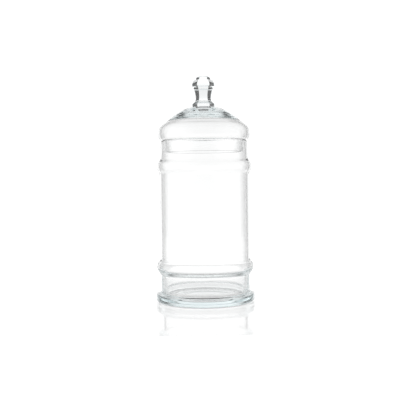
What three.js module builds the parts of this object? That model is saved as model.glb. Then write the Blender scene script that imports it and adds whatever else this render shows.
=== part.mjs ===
// Apothecary jar: a footed glass jar, a domed lid that drops into its neck, and a solid knob.
// Millimetres, +Z up. The origin lies on the jar's axis, on the plane that the foot stands on.
// Every piece is swept about that axis, so each one is an outline of (radius, height) points.
import * as THREE from 'three';

// The jar
const wall = 2; // glass thickness of the body, the neck and the lid's thin parts
const bodyRadius = 65; // outside of the straight wall
const jarHeight = 232.8; // from the standing plane to the rim
const neckStep = 0.9; // how far the bottom of the neck lies inside the body wall
const neckTaper = 1.3; // how much the neck narrows on its way up to the rim
const rimRounding = 0.7; // chamfer on both edges of the rim

// The two raised beads of the body
const lowerBead = { height: 51, rise: 5.2, below: 12, above: 13 };
const upperBead = { depth: 36.3, rise: 3.7, below: 14, above: 12 }; // depth: under the rim

// The foot
const waistStep = 0.7; // how far the waist under the lower bead lies inside the body wall
const footFlare = 6.7; // how far the foot stands out past the body wall
const waistWall = 6; // thicker glass between the lower bead and the foot
const footEdge = 12.4; // height of the foot's rounded edge
const waistFillet = 7.2; // height of the hollow curve from the foot's edge up to the waist
const pushUp = 2.4; // hollow in the middle of the underside
const floorGlass = 3.6; // thickness of the floor over that hollow
const floorFillet = { reach: 12, height: 9.5 }; // curve between the floor and the wall inside
const standWidth = 6; // flat ring that the jar stands on
const standInset = 4.2; // from the foot's widest edge in to that ring

// The lid
const skirtDepth = 16.3; // how far the skirt hangs into the neck
const skirtClearance = 3; // between the skirt and the inside of the rim, all round
const skirtTaper = 1.8; // how much the skirt narrows on its way down
const seatGap = 0.3; // the lid's ledge lies this far above the rim
const domeHeight = 49.2; // from the ledge to the crown
const brimOverhang = 3.8; // how far the lid's widest ring stands out past the rim
const brimHeight = 11.8; // from the ledge up to that widest ring
const crownThickness = 13.7; // solid glass under the knob
const ceilingReach = 41.2; // how far out the nearly flat ceiling pulls the curve of the lid's inside
const shoulderTurn = 5.3; // the same for the lid's inside at the shoulder
const crownLedge = 1.4; // flat glass around the knob's foot

// The knob is six-sided; its radii reach out to the corners
const knobFootRadius = 16.6;
const knobNeckRadius = 11.2;
const knobHeadRadius = 16.8;
const knobButtonRadius = 10.8; // the low button on top of the head
const knobHeight = 44.7;

// Fineness of the faceted surfaces
const facets = 48; // around the axis
const knobSides = 6;
const curveSteps = 4; // straight pieces in each curve of an outline

// Places that several pieces share
const beadRadius = { lower: bodyRadius + lowerBead.rise, upper: bodyRadius + upperBead.rise };
const upperBeadHeight = jarHeight - upperBead.depth;
const waistRadius = bodyRadius - waistStep;
const footRadius = bodyRadius + footFlare;
const innerWaist = waistRadius - waistWall;
const joinHeight = footEdge + waistFillet; // where the blown body meets the pressed foot
const floorHeight = pushUp + floorGlass; // top of the floor inside
const neckRadius = bodyRadius - neckStep;
const rimRadius = neckRadius - neckTaper;
const seatHeight = jarHeight + seatGap;
const crownHeight = seatHeight + domeHeight;
const crownRadius = knobFootRadius + crownLedge;
const brimRadius = rimRadius + brimOverhang;
const skirtRadius = rimRadius - wall - skirtClearance;

const glass = { color: 0xe9f3f0, roughness: 0.04, metalness: 0 };

function swept(name, outline, sides = facets, firstCorner = 0) {
  const geometry = new THREE.LatheGeometry(outline, sides, firstCorner);
  const mesh = new THREE.Mesh(geometry, new THREE.MeshStandardMaterial(glass));
  mesh.name = name;
  mesh.rotation.x = Math.PI / 2;
  return mesh;
}

// The outside of the blown body, from the waist up to the rim.
function bodyOutside() {
  const path = new THREE.Path();
  const { height: low, below, above } = lowerBead;
  path.moveTo(waistRadius, joinHeight);
  path.lineTo(waistRadius, low - below);
  path.quadraticCurveTo(beadRadius.lower, low - 0.36 * below, beadRadius.lower, low);
  path.bezierCurveTo(
    beadRadius.lower, low + 0.55 * above, bodyRadius, low + 0.6 * above, bodyRadius, low + above,
  );
  const high = upperBeadHeight;
  path.lineTo(bodyRadius, high - upperBead.below);
  path.bezierCurveTo(
    bodyRadius, high - 0.58 * upperBead.below,
    beadRadius.upper, high - 0.42 * upperBead.below,
    beadRadius.upper, high,
  );
  path.bezierCurveTo(
    beadRadius.upper, high + 0.5 * upperBead.above,
    neckRadius, high + 0.55 * upperBead.above,
    neckRadius, high + upperBead.above,
  );
  path.lineTo(rimRadius, jarHeight - rimRounding);
  return path.getPoints(curveSteps);
}

// The inside of the body, from the thick waist out to the lower bead, and from there a wall's thickness in.
function bodyInside() {
  const { height: low, below } = lowerBead;
  const innerBead = beadRadius.lower - wall;
  const path = new THREE.Path();
  path.moveTo(innerWaist, joinHeight);
  path.lineTo(innerWaist, low - below);
  path.bezierCurveTo(innerWaist, low - 0.42 * below, innerBead, low - 0.54 * below, innerBead, low);
  const above = bodyOutside().filter((point) => point.y > low);
  return [...path.getPoints(curveSteps), ...above.map((point) => new THREE.Vector2(point.x - wall, point.y))];
}

// The body is a tube, open at both ends; the foot closes the lower one.
function jarBody() {
  const outside = bodyOutside();
  const rim = [
    new THREE.Vector2(rimRadius - rimRounding, jarHeight),
    new THREE.Vector2(rimRadius - wall + rimRounding, jarHeight),
  ];
  return swept('jar_body', [...outside, ...rim, ...bodyInside().reverse(), outside[0].clone()]);
}

// The heavy pressed foot, with the jar's floor in it.
function jarFoot() {
  const standOuter = footRadius - standInset;
  const edgeTop = footRadius - 0.9;
  const path = new THREE.Path();
  path.moveTo(0, pushUp);
  path.lineTo(0.7 * standOuter, 0.8 * pushUp);
  path.lineTo(standOuter - standWidth, 0);
  path.lineTo(standOuter, 0);
  path.quadraticCurveTo(footRadius, 0.1 * footEdge, footRadius, 0.52 * footEdge);
  path.quadraticCurveTo(footRadius, 0.95 * footEdge, edgeTop, footEdge);
  path.quadraticCurveTo(waistRadius, footEdge + 0.2 * waistFillet, waistRadius, joinHeight);
  path.lineTo(innerWaist, joinHeight);
  path.lineTo(innerWaist, floorHeight + floorFillet.height);
  path.quadraticCurveTo(innerWaist, floorHeight, innerWaist - floorFillet.reach, floorHeight);
  path.lineTo(0, floorHeight);
  return swept('jar_foot', path.getPoints(curveSteps));
}

// A point of the dome: 0 to 1 from the crown's edge out to the brim, and from the ledge up to the crown.
function onDome(outward, upward) {
  const radius = crownRadius + outward * (brimRadius - crownRadius);
  return new THREE.Vector2(radius, seatHeight + upward * domeHeight);
}

function curve(path, firstHandle, secondHandle, end) {
  path.bezierCurveTo(firstHandle.x, firstHandle.y, secondHandle.x, secondHandle.y, end.x, end.y);
}

// The lid in one piece of glass: ceiling, inside wall, skirt, ledge, brim and dome.
function lidDome() {
  const ledge = new THREE.Vector2(rimRadius - rimRounding, seatHeight);
  const pastRim = new THREE.Vector2(rimRadius + 0.6, seatHeight);
  const underBrim = new THREE.Vector2(brimRadius, seatHeight + 0.4 * brimHeight);
  const brim = new THREE.Vector2(brimRadius, seatHeight + brimHeight);
  const besideBrim = onDome(1, 0.375);
  const overBrim = onDome(0.925, 0.455);
  const shoulder = onDome(0.813, 0.537);
  const crown = new THREE.Vector2(crownRadius, crownHeight);
  const ceiling = crownHeight - crownThickness;
  const innerSkirt = skirtRadius - wall;

  const slope = shoulder.clone().sub(overBrim).normalize();
  const throughShoulder = new THREE.Vector2(-slope.y, slope.x).multiplyScalar(wall);
  const throughBrim = new THREE.Vector2(-wall, 0);
  const throughLedge = new THREE.Vector2(-wall / 2, wall);
  const inside = (point, through) => point.clone().add(through);
  const insideShoulder = inside(shoulder, throughShoulder);

  const path = new THREE.Path();
  path.moveTo(0, ceiling);
  const underCeiling = new THREE.Vector2(ceilingReach, ceiling);
  curve(path, underCeiling, insideShoulder.clone().addScaledVector(slope, shoulderTurn), insideShoulder);
  curve(path, inside(overBrim, throughShoulder), inside(besideBrim, throughBrim), inside(brim, throughBrim));
  curve(path, inside(underBrim, throughBrim), inside(pastRim, throughLedge), inside(ledge, throughLedge));
  path.quadraticCurveTo(innerSkirt, seatHeight + wall, innerSkirt, seatHeight - wall);
  path.lineTo(innerSkirt - skirtTaper, seatHeight - skirtDepth);
  path.lineTo(skirtRadius - skirtTaper, seatHeight - skirtDepth);
  path.lineTo(skirtRadius, seatHeight);
  path.lineTo(ledge.x, ledge.y);
  curve(path, pastRim, underBrim, brim);
  curve(path, besideBrim, overBrim, shoulder);
  curve(path, onDome(0.56, 0.72), onDome(0.28, 0.975), crown);
  path.lineTo(0, crownHeight);
  return swept('lid_dome', path.getPoints(curveSteps));
}

// The solid knob: a flared foot, a waisted neck, a wide head and a low button, with a flat side to the front.
function lidKnob() {
  const level = (share) => crownHeight + share * knobHeight;
  const collarRadius = knobNeckRadius + 1.8;
  const path = new THREE.Path();
  path.moveTo(0, crownHeight);
  path.lineTo(knobFootRadius, crownHeight);
  path.lineTo(knobFootRadius - 0.4, level(0.11));
  path.quadraticCurveTo(knobNeckRadius, level(0.18), knobNeckRadius, level(0.28));
  path.quadraticCurveTo(knobNeckRadius, level(0.38), collarRadius, level(0.57));
  path.lineTo(knobHeadRadius - 2, level(0.645));
  path.lineTo(knobHeadRadius, level(0.68));
  path.lineTo(knobHeadRadius - 0.2, level(0.74));
  path.lineTo(knobHeadRadius - 2.4, level(0.87));
  path.lineTo(knobButtonRadius, level(0.895));
  path.quadraticCurveTo(0.95 * knobButtonRadius, level(1), 0.68 * knobButtonRadius, level(1));
  path.lineTo(0, level(1));
  return swept('lid_knob', path.getPoints(curveSteps), knobSides, Math.PI / knobSides);
}

const jar = new THREE.Group();
jar.add(jarBody(), jarFoot());

const lid = new THREE.Group();
lid.add(lidDome(), lidKnob());

const apothecaryJar = new THREE.Group();
apothecaryJar.add(jar, lid);

export default apothecaryJar;
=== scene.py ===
"""Footed glass apothecary jar with a drop-in domed lid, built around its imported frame."""

import math

import bmesh
import bpy
from mathutils import Euler, Matrix, Vector
from mathutils.geometry import interpolate_bezier


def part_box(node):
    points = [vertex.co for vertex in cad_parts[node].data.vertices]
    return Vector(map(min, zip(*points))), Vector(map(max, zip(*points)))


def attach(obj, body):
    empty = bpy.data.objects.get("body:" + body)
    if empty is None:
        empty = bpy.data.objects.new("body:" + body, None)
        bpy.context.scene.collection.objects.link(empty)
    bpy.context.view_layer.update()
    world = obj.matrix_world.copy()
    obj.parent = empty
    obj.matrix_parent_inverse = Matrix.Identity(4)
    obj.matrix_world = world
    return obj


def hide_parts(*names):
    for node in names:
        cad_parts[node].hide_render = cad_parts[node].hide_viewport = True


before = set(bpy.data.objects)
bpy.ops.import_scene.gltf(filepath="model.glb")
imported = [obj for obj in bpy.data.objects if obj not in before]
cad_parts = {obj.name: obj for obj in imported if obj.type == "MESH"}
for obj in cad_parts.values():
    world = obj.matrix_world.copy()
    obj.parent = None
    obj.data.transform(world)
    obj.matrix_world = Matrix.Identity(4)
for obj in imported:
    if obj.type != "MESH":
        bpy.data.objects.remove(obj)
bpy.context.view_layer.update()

MM = 0.001
SAME_PLACE = 1e-6
TOUCHING = 0.01 * MM

# Places that the frame gives
body_low, body_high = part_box("jar_body")
foot_low, foot_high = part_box("jar_foot")
dome_low, dome_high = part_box("lid_dome")
knob_low, knob_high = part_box("lid_knob")
RIM = body_high.z
BEAD_RADIUS = body_high.x
JOIN = body_low.z
FOOT_RADIUS = foot_high.x
BRIM_RADIUS = dome_high.x
SKIRT_BOTTOM = dome_low.z
CROWN = dome_high.z
KNOB_TOP = knob_high.z

# The outside of the jar's glass, from the rim down; a bead's height is that of its widest ring
RIM_RADIUS = 62.8 * MM
RIM_ROUNDING = 0.9 * MM
NECK_RADIUS = 64.1 * MM
UPPER_BEAD = RIM - 36.3 * MM
UPPER_BEAD_RADIUS = 68.7 * MM
BODY_RADIUS = 65 * MM
BODY_TOP = UPPER_BEAD - 14 * MM
LOWER_BEAD = 51 * MM
UNDER_BEAD = LOWER_BEAD - 4.3 * MM
CREASE = LOWER_BEAD - 12 * MM
CREASE_ROUNDING = 0.8 * MM
WAIST_RADIUS = 64.3 * MM
FOOT_EDGE = 12.4 * MM
EDGE_TOP_RADIUS = FOOT_RADIUS - 0.9 * MM
STAND_OUTER = FOOT_RADIUS - 4.2 * MM
STAND_WIDTH = 6 * MM
STAND_INNER = STAND_OUTER - STAND_WIDTH
STAND_ROUNDING = 2 * MM
PUSH_UP = 2.4 * MM
UNDER_FLAT_SHARE = 0.6

# The beads' double curves, in millimetres above the bead: up to where each keeps its first radius,
# from where it has its second one, and where it ends
OVER_LOWER_BEAD = (7.2, 7.8, 13)
UNDER_UPPER_BEAD = (-8.1, -5.9, 0)
OVER_UPPER_BEAD = (6, 6.6, 12)

# The inside of the jar's glass
WALL = 2 * MM
INNER_BULGE = 6.5 * MM
INNER_STEP = 7.5 * MM
INNER_CREASE = 38.5 * MM
INNER_WAIST = 58.3 * MM
HEEL = 9.5 * MM
BASE_GLASS = 3.6 * MM
FLOOR = PUSH_UP + BASE_GLASS
FLOOR_FILLET = 12 * MM

# The lid's glass
SEAT = RIM + 0.3 * MM
SEAT_FILLET = 2 * MM
SKIRT_RADIUS = 57.8 * MM
SKIRT_TAPER = 1.8 * MM
SKIRT_LIP = 0.9 * MM
LEDGE_RADIUS = RIM_RADIUS - 1.4 * MM
BRIM_TURN = RIM_RADIUS + 0.6 * MM
CROWN_RADIUS = 18 * MM
CROWN_GLASS = 11 * MM
CEILING_RADIUS = 46 * MM
SHOULDER_WALL = 1.5 * MM
SHOULDER_TURN = 5.3 * MM
BRIM_HEIGHT = 11.8 * MM
BRIM_WALL = 2.3 * MM
SHELF = 1.5 * MM

# The knob: its sides, how sharp the corners between them are and how far out these reach, and the length
# that its outline's corners are eased over
KNOB_SIDES = 6
CORNER_SHARPNESS = 80
CORNER_REACH = 0.995
KNOB_EASE = 0.35 * MM

# Fineness, and the places of the extra points that keep the straights beside an eased corner straight
AROUND = 192
CURVE_STEPS = 8
CORNER_HOLD = 1.3

# The camera's place
CAMERA_DISTANCE = 1.061
CAMERA_HEIGHT = 0.174
CAMERA_SIDE = -6.6 * MM
CAMERA_DOWN = math.radians(1.425)
CAMERA_ROLL = math.radians(0.7)
LENS = 65.4
SENSOR = 36

# The light: a white room, and a round tent with a dark ring in it. The tent's bands are angles from straight
# behind the jar round to its front, with their brightness; its two leans change that across and up.
ROOM_LIGHT = 1.12
TENT_RADIUS = 6
TENT_AHEAD = 1
TENT_LIGHT = 2
TENT = (
    (0, 1.03), (24, 1.06), (32, 0.8), (39, 0.1), (54, 0.08), (63, 0.8), (85, 1.2),
    (125, 1.2), (145, 1), (165, 0.9),
)
TENT_RIGHT = -0.1
TENT_TOP = -0.4

# The glossy white sheet that the jar stands on, lit from below
SHEET_ROUGHNESS = 0.05
SHEET_SIZE = Vector((1.2, 0.85, 1))
SHEET_FRONT = 243 * MM
SHEET_GLOW = 0.5
SHEET_WHITE = 0.3

# The glass: its colour through its depth, the mould's broad waves, the fine cords drawn around it,
# the speckles of its seeds and the faint dullness that handling leaves
TINT = (0.48, 0.8, 0.85)
TINT_DENSITY = 2.2
NOISE_ROUGHNESS = 0.4
WAVE_SCALE = 22
WAVE_HEIGHT = 0.04 * MM
CORD_SCALE = 12
CORD_STRETCH = (1, 1, 18)
CORD_HEIGHT = 0.03
SPECKLE_SCALE = 420
SPECKLE_RANGE = (0.7, 0.8)
SPECKLE_DEPTH = 0.5
SPECKLE_TONE = (0.93, 0.96, 0.955, 1)
CLEAR_TONE = (1, 1, 1, 1)
HANDLED_SCALE = 30
HANDLED_RANGE = (0.48, 0.75)
HANDLED_ROUGHNESS = 0.01

# Sockets that only their place tells apart
OBJECT_PLACE = 3
MIX_FACTOR, MIX_FROM, MIX_TO, MIXED_COLOUR = 0, 6, 7, 2


class Outline:
    """Half of a turned shape: points at a radius and a height, joined by straights and curves."""

    def __init__(self, radius, height):
        self.points = [Vector((radius, height))]

    def line(self, radius, height):
        self.points.append(Vector((radius, height)))

    def curve(self, first_handle, second_handle, end):
        corners = [Vector(p) for p in (self.points[-1], first_handle, second_handle, end)]
        self.points += interpolate_bezier(*corners, CURVE_STEPS + 1)[1:]

    def bend(self, corner, end):
        """A curve that leaves towards the corner and arrives from it."""
        start, middle, stop = self.points[-1], Vector(corner), Vector(end)
        self.curve(start.lerp(middle, 2 / 3), stop.lerp(middle, 2 / 3), end)

    def ogee(self, radius, bead, heights):
        """A double curve to another radius, upright at both ends, with its heights measured from a bead."""
        leave, arrive, end = (bead + height * MM for height in heights)
        self.curve((self.points[-1].x, leave), (radius, arrive), (radius, end))

    def chain(self, corners, end):
        """Straights through corners, each eased over its own length, to an end."""
        places = [self.points[-1]] + [Vector(c[:2]) for c in corners] + [Vector(end)]
        for before, corner, after, (*_, ease) in zip(places, places[1:], places[2:], corners):
            back, on = (before - corner).normalized(), (after - corner).normalized()
            self.points += [corner + back * (CORNER_HOLD * ease), corner + back * ease]
            self.bend(corner, corner + on * ease)
            self.points.append(corner + on * (CORNER_HOLD * ease))
        self.points.append(places[-1])


def spun(outline):
    """The outline swept about the jar's axis, as a closed mesh."""
    mesh = bmesh.new()
    points = [mesh.verts.new((point.x, 0, point.y)) for point in outline.points]
    lines = [mesh.edges.new(pair) for pair in zip(points, points[1:])]
    bmesh.ops.spin(
        mesh, geom=points + lines, cent=(0, 0, 0), axis=(0, 0, 1),
        angle=2 * math.pi, steps=AROUND, use_merge=True,
    )
    bmesh.ops.remove_doubles(mesh, verts=mesh.verts, dist=SAME_PLACE)
    bmesh.ops.recalc_face_normals(mesh, faces=mesh.faces)
    return mesh


def finished(name, mesh):
    """The mesh, shaded smooth, as an object at the origin."""
    for face in mesh.faces:
        face.smooth = True
    data = bpy.data.meshes.new(name)
    mesh.to_mesh(data)
    mesh.free()
    piece = bpy.data.objects.new(name, data)
    bpy.context.scene.collection.objects.link(piece)
    return piece


# ---------------------------------------------------------------- the jar

def foot_outline():
    """From the middle of the underside, over the standing ring and the edge, up to the waist."""
    shape = Outline(0, PUSH_UP)
    shape.line(UNDER_FLAT_SHARE * STAND_INNER, PUSH_UP)
    shape.bend((0.97 * STAND_INNER, PUSH_UP), (STAND_INNER, 0.2 * STAND_ROUNDING))
    shape.bend((STAND_INNER + 0.4 * STAND_ROUNDING, 0), (STAND_INNER + STAND_ROUNDING, 0))
    shape.line(STAND_OUTER, 0)
    shape.bend((FOOT_RADIUS, 0.1 * FOOT_EDGE), (FOOT_RADIUS, 0.52 * FOOT_EDGE))
    shape.bend((FOOT_RADIUS, 0.95 * FOOT_EDGE), (EDGE_TOP_RADIUS, FOOT_EDGE))
    shape.bend((WAIST_RADIUS, FOOT_EDGE + 0.2 * (JOIN - FOOT_EDGE)), (WAIST_RADIUS, JOIN))
    return shape


def wall_outline():
    """The outside of the wall from the waist over both beads to the neck."""
    crease, under_bead = Vector((WAIST_RADIUS, CREASE)), Vector((BEAD_RADIUS, UNDER_BEAD))
    shape = Outline(WAIST_RADIUS, JOIN)
    shape.line(WAIST_RADIUS, CREASE - CREASE_ROUNDING)
    shape.bend(crease, crease + (under_bead - crease).normalized() * CREASE_ROUNDING)
    shape.bend(under_bead, (BEAD_RADIUS, LOWER_BEAD))
    shape.ogee(BODY_RADIUS, LOWER_BEAD, OVER_LOWER_BEAD)
    shape.line(BODY_RADIUS, BODY_TOP)
    shape.ogee(UPPER_BEAD_RADIUS, UPPER_BEAD, UNDER_UPPER_BEAD)
    shape.ogee(NECK_RADIUS, UPPER_BEAD, OVER_UPPER_BEAD)
    shape.line(RIM_RADIUS, RIM - RIM_ROUNDING)
    return shape


def jar_outline():
    """All the way round the jar's glass, from the middle of the underside to the middle of the floor."""
    shape, outside = foot_outline(), wall_outline()
    inside = [point - Vector((WALL, 0)) for point in reversed(outside.points) if point.y > LOWER_BEAD]
    shape.points += outside.points[1:]
    shape.bend((RIM_RADIUS, RIM), (RIM_RADIUS - RIM_ROUNDING, RIM))
    shape.line(RIM_RADIUS - WALL + RIM_ROUNDING, RIM)
    shape.bend((RIM_RADIUS - WALL, RIM), inside[0])
    shape.points += inside[1:]
    shape.line(BEAD_RADIUS - WALL, LOWER_BEAD)
    shape.curve(
        (BEAD_RADIUS - WALL, LOWER_BEAD - INNER_BULGE), (INNER_WAIST, INNER_CREASE + INNER_STEP),
        (INNER_WAIST, INNER_CREASE),
    )
    shape.line(INNER_WAIST, FLOOR + HEEL)
    shape.bend((INNER_WAIST, FLOOR), (INNER_WAIST - FLOOR_FILLET, FLOOR))
    shape.line(0, FLOOR)
    return shape


def make_jar():
    return finished("jar", spun(jar_outline()))


# ---------------------------------------------------------------- the lid

def on_dome(outward, upward):
    """A point from the crown (0) out to the brim (1), and from the seat (0) up to the crown (1)."""
    return Vector((CROWN_RADIUS + outward * (BRIM_RADIUS - CROWN_RADIUS), SEAT + upward * (CROWN - SEAT)))


def lid_outline():
    """From the middle of the ceiling, down the inside and the skirt, then up the outside to the knob."""
    below_crown, beside_crown = on_dome(0.56, 0.72), on_dome(0.28, 0.975)
    shoulder, over_brim, beside_brim = on_dome(0.813, 0.537), on_dome(0.925, 0.455), on_dome(1, 0.375)
    brim = Vector((BRIM_RADIUS, SEAT + BRIM_HEIGHT))
    under_brim = Vector((BRIM_RADIUS, SEAT + 0.4 * BRIM_HEIGHT))
    past_rim = Vector((BRIM_TURN, SEAT))
    slope = (shoulder - over_brim).normalized()
    inward = Vector((-slope.y, slope.x)) * SHOULDER_WALL
    thin, thick = Vector((-BRIM_WALL, 0)), Vector((-BRIM_WALL / 2, SHELF))
    ceiling = CROWN - CROWN_GLASS
    shape = Outline(0, ceiling)
    shape.curve((CEILING_RADIUS, ceiling), shoulder + inward + slope * SHOULDER_TURN, shoulder + inward)
    shape.curve(over_brim + inward, beside_brim + thin, brim + thin)
    shape.curve(under_brim + thin, past_rim + thick, past_rim + thick - Vector((SEAT_FILLET, 0)))
    add_skirt(shape)
    shape.line(LEDGE_RADIUS, SEAT)
    shape.curve(past_rim, under_brim, brim)
    shape.curve(beside_brim, over_brim, shoulder)
    shape.curve(below_crown, beside_crown, (CROWN_RADIUS, CROWN))
    add_knob(shape)
    return shape


def add_skirt(shape):
    """Down the skirt's inside, round its lip and up its outside to the ledge."""
    inner, lip_radius = SKIRT_RADIUS - WALL, SKIRT_RADIUS - SKIRT_TAPER
    shape.bend((inner, SEAT + SHELF), (inner, SEAT - SEAT_FILLET))
    shape.line(inner - SKIRT_TAPER, SKIRT_BOTTOM + SKIRT_LIP)
    shape.bend((lip_radius - WALL, SKIRT_BOTTOM), (lip_radius - WALL + SKIRT_LIP, SKIRT_BOTTOM))
    shape.line(lip_radius - SKIRT_LIP, SKIRT_BOTTOM)
    shape.bend((lip_radius, SKIRT_BOTTOM), (lip_radius, SKIRT_BOTTOM + SKIRT_LIP))
    shape.line(SKIRT_RADIUS, SEAT - SEAT_FILLET)
    shape.bend((SKIRT_RADIUS, SEAT), (SKIRT_RADIUS + SEAT_FILLET, SEAT))


def add_knob(shape):
    """The knob's corners, each with a radius in millimetres, a share of the knob's height and an easing."""
    corners = (
        (16.8, 0, 1), (16.5, 0.105, 2), (12.3, 0.19, 2), (11.3, 0.27, 4), (11.5, 0.38, 4),
        (13.1, 0.54, 1), (14.3, 0.63, 1), (16.9, 0.675, 1), (16.7, 0.745, 1), (14.3, 0.872, 1),
        (10.9, 0.885, 1), (10.4, 0.955, 3), (8.4, 1, 4),
    )
    shape.chain(
        [(r * MM, CROWN + share * (KNOB_TOP - CROWN), ease * KNOB_EASE) for r, share, ease in corners],
        (0, KNOB_TOP),
    )


def make_lid():
    mesh = spun(lid_outline())
    cut_six_sides(mesh)
    return finished("lid", mesh)


def cut_six_sides(mesh):
    """Presses the round knob to six sides with eased corners, one side towards the front."""
    half = math.pi / KNOB_SIDES
    for vert in mesh.verts:
        radius = math.hypot(vert.co.x, vert.co.y)
        if vert.co.z < CROWN - TOUCHING or not SAME_PLACE < radius < CROWN_RADIUS - TOUCHING:
            continue
        angle = (math.atan2(vert.co.y, vert.co.x) + half) % (2 * half) - half
        flat = math.cos(half) / math.cos(half - abs(angle))
        share = (flat**-CORNER_SHARPNESS + CORNER_REACH**-CORNER_SHARPNESS) ** (-1 / CORNER_SHARPNESS)
        vert.co.x *= share
        vert.co.y *= share


# ---------------------------------------------------------------- materials

class Value:
    """An output socket that can be calculated with."""

    def __init__(self, shading, socket):
        self.shading, self.socket = shading, socket

    def maths(self, operation, *terms):
        return self.shading.node("ShaderNodeMath", {"operation": operation}, dict(enumerate(terms)))[0]

    def __add__(self, other):
        return self.maths("ADD", self, other)

    def __sub__(self, other):
        return self.maths("SUBTRACT", self, other)

    def __rsub__(self, other):
        return self.maths("SUBTRACT", other, self)

    def __mul__(self, other):
        return self.maths("MULTIPLY", self, other)

    __radd__ = __add__
    __rmul__ = __mul__


class Shading:
    """One node tree, its main shader and the maths in it."""

    def __init__(self, name):
        self.material = bpy.data.materials.new(name)
        self.material.use_nodes = True
        self.tree = self.material.node_tree
        self.surface = self.tree.nodes["Principled BSDF"]
        self.output = self.tree.nodes["Material Output"]

    def fill(self, node, values):
        for name, value in values.items():
            if isinstance(value, Value):
                self.tree.links.new(value.socket, node.inputs[name])
            else:
                node.inputs[name].default_value = value

    def node(self, kind, settings, values):
        """A new node with its settings and sockets filled, as a list of its outputs."""
        node = self.tree.nodes.new(kind)
        for name, value in settings.items():
            if name == "stops":
                self.set_stops(node.color_ramp, value)
            else:
                setattr(node, name, value)
        self.fill(node, values)
        return [Value(self, socket) for socket in node.outputs]

    @staticmethod
    def set_stops(ramp, stops):
        while len(ramp.elements) < len(stops):
            ramp.elements.new(1)
        for element, (place, grey) in zip(ramp.elements, stops):
            element.position, element.color = place, (grey, grey, grey, 1)

    def place(self):
        """The point on the piece, in metres."""
        return self.node("ShaderNodeTexCoord", {}, {})[OBJECT_PLACE]


def glass(name):
    """Clear soda glass: faintly coloured through its depth, waved by its mould, dulled here and there."""
    shading = Shading(name)
    place = shading.place()

    def noise(where, scale, detail):
        return shading.node("ShaderNodeTexNoise", {}, {
            "Vector": where, "Scale": scale, "Detail": detail, "Roughness": NOISE_ROUGHNESS,
        })[0]

    def rising(pattern, limits):
        low, high = limits
        return shading.node("ShaderNodeMapRange", {}, {
            "Value": pattern, "From Min": low, "From Max": high,
        })[0]

    around = shading.node("ShaderNodeMapping", {}, {"Vector": place, "Scale": CORD_STRETCH})[0]
    cords = noise(around, CORD_SCALE, 2)
    handled = rising(noise(place, HANDLED_SCALE, 4), HANDLED_RANGE)
    clean = 1 - rising(noise(place, SPECKLE_SCALE, 2), SPECKLE_RANGE) * SPECKLE_DEPTH
    tone = shading.node("ShaderNodeMix", {"data_type": "RGBA"}, {
        MIX_FACTOR: clean, MIX_FROM: SPECKLE_TONE, MIX_TO: CLEAR_TONE,
    })[MIXED_COLOUR]
    height = noise(place, WAVE_SCALE, 1) + cords * CORD_HEIGHT
    bump = shading.node("ShaderNodeBump", {}, {"Height": height, "Strength": 1, "Distance": WAVE_HEIGHT})[0]
    shading.fill(shading.surface, {
        "Base Color": tone,
        "Roughness": handled * HANDLED_ROUGHNESS,
        "IOR": 1.5,
        "Transmission Weight": 1,
        "Normal": bump,
    })
    depth = shading.node("ShaderNodeVolumeAbsorption", {}, {
        "Color": (*TINT, 1), "Density": TINT_DENSITY,
    })[0]
    shading.fill(shading.output, {"Volume": depth})
    return shading.material


# ---------------------------------------------------------------- stage, light and camera

def make_room():
    """Plain white light from everywhere, and the light paths that clear glass needs."""
    scene = bpy.context.scene
    scene.view_settings.view_transform = "Standard"
    scene.cycles.max_bounces = 32
    scene.cycles.transmission_bounces = 32
    scene.cycles.glossy_bounces = 16
    world = bpy.data.worlds.new("white_room")
    scene.world = world
    world.use_nodes = True
    backdrop = world.node_tree.nodes["Background"].inputs
    backdrop["Color"].default_value = (1, 1, 1, 1)
    backdrop["Strength"].default_value = ROOM_LIGHT


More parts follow.
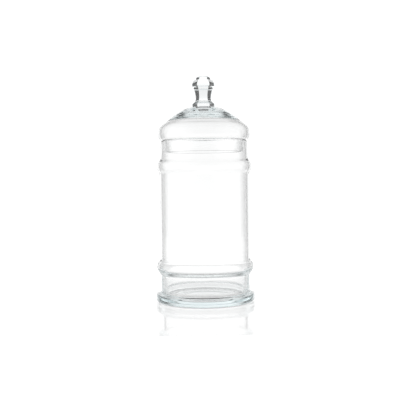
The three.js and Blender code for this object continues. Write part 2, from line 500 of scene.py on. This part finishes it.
def make_floor():
    """The glossy white sheet."""
    floor_mesh = bmesh.new()
    bmesh.ops.create_grid(floor_mesh, x_segments=1, y_segments=1, size=0.5)
    bmesh.ops.scale(floor_mesh, vec=SHEET_SIZE, verts=floor_mesh.verts)
    bmesh.ops.translate(floor_mesh, vec=(0, SHEET_SIZE.y / 2 - SHEET_FRONT, 0), verts=floor_mesh.verts)
    floor = finished("floor", floor_mesh)
    shading = Shading("white_floor")
    shading.fill(shading.surface, {
        "Base Color": (SHEET_WHITE, SHEET_WHITE, SHEET_WHITE, 1), "Roughness": SHEET_ROUGHNESS,
        "Emission Color": (1, 1, 1, 1), "Emission Strength": SHEET_GLOW,
    })
    floor.data.materials.append(shading.material)


def make_tent():
    """A round tent about the jar, seen only where the glass and the sheet reflect or bend it."""
    mesh = bmesh.new()
    bmesh.ops.create_uvsphere(mesh, u_segments=48, v_segments=32, radius=TENT_RADIUS)
    tent = finished("tent", mesh)
    tent.matrix_world = bpy.context.scene.camera.matrix_basis @ Matrix.Translation((0, 0, -TENT_AHEAD))
    for kind in ("camera", "diffuse", "shadow", "volume_scatter"):
        setattr(tent, "visible_" + kind, False)
    shading = Shading("tent_cloth")
    shading.material.cycles.emission_sampling = "NONE"
    across, up, back = shading.node("ShaderNodeSeparateXYZ", {}, {0: shading.place()})
    towards_front = 0.5 + back * (0.5 / TENT_RADIUS)
    lean = 1 + across * (TENT_RIGHT / TENT_RADIUS) + up * (TENT_TOP / TENT_RADIUS)
    stops = [(0.5 - 0.5 * math.cos(math.radians(angle)), light / TENT_LIGHT) for angle, light in TENT]
    light = shading.node("ShaderNodeValToRGB", {"stops": stops}, {0: towards_front})[0]
    shading.fill(shading.surface, {
        "Base Color": (0, 0, 0, 1), "Specular IOR Level": 0,
        "Emission Color": light * lean, "Emission Strength": TENT_LIGHT,
    })
    tent.data.materials.append(shading.material)


def make_camera():
    """The camera in front of the jar, a little above its middle."""
    camera = bpy.data.objects.new("camera", bpy.data.cameras.new("camera"))
    bpy.context.scene.collection.objects.link(camera)
    camera.data.lens = LENS
    camera.data.sensor_width = SENSOR
    camera.location = (CAMERA_SIDE, -CAMERA_DISTANCE, CAMERA_HEIGHT)
    level = Euler((math.pi / 2 - CAMERA_DOWN, 0, 0)).to_matrix()
    camera.rotation_euler = (level @ Matrix.Rotation(-CAMERA_ROLL, 3, "Z")).to_euler()
    bpy.context.scene.camera = camera


make_camera()
make_room()
make_floor()
make_tent()

jar = make_jar()
jar.data.materials.append(glass("jar_glass"))
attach(jar, "jar")
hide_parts("jar_body", "jar_foot")

lid = make_lid()
lid.data.materials.append(glass("lid_glass"))
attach(lid, "lid")
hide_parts("lid_dome", "lid_knob")
